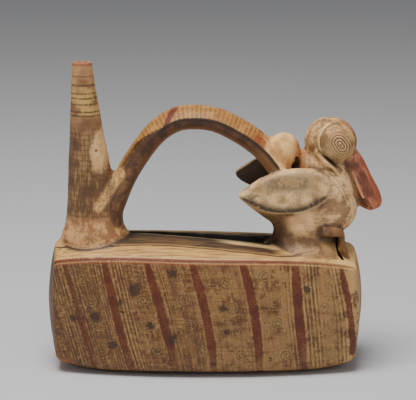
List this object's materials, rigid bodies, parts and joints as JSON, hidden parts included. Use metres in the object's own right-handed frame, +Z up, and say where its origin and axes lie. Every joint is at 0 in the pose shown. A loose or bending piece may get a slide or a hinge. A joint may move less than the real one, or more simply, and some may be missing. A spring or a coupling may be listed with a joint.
{
  "type": "double-chambered whistling vessel",
  "caption": "Hollow earthenware block vessel with a front and a back chamber, a tall spout, an arched strap handle and a pelican-shaped whistle on a pedestal.",
  "frame": {"origin": "middle of the underside's flat rest face", "axes": "+X along the block from the spout to the bird, the painted front faces -Y, +Z up"},
  "size_m": [0.238, 0.0875, 0.2185],
  "materials": {
    "painted_clay": "burnished cream, red and dark slip paint on fired clay, worn and stained"
  },
  "bodies": {
    "root": {"vessel": "painted_clay"}
  },
  "joints": []
}
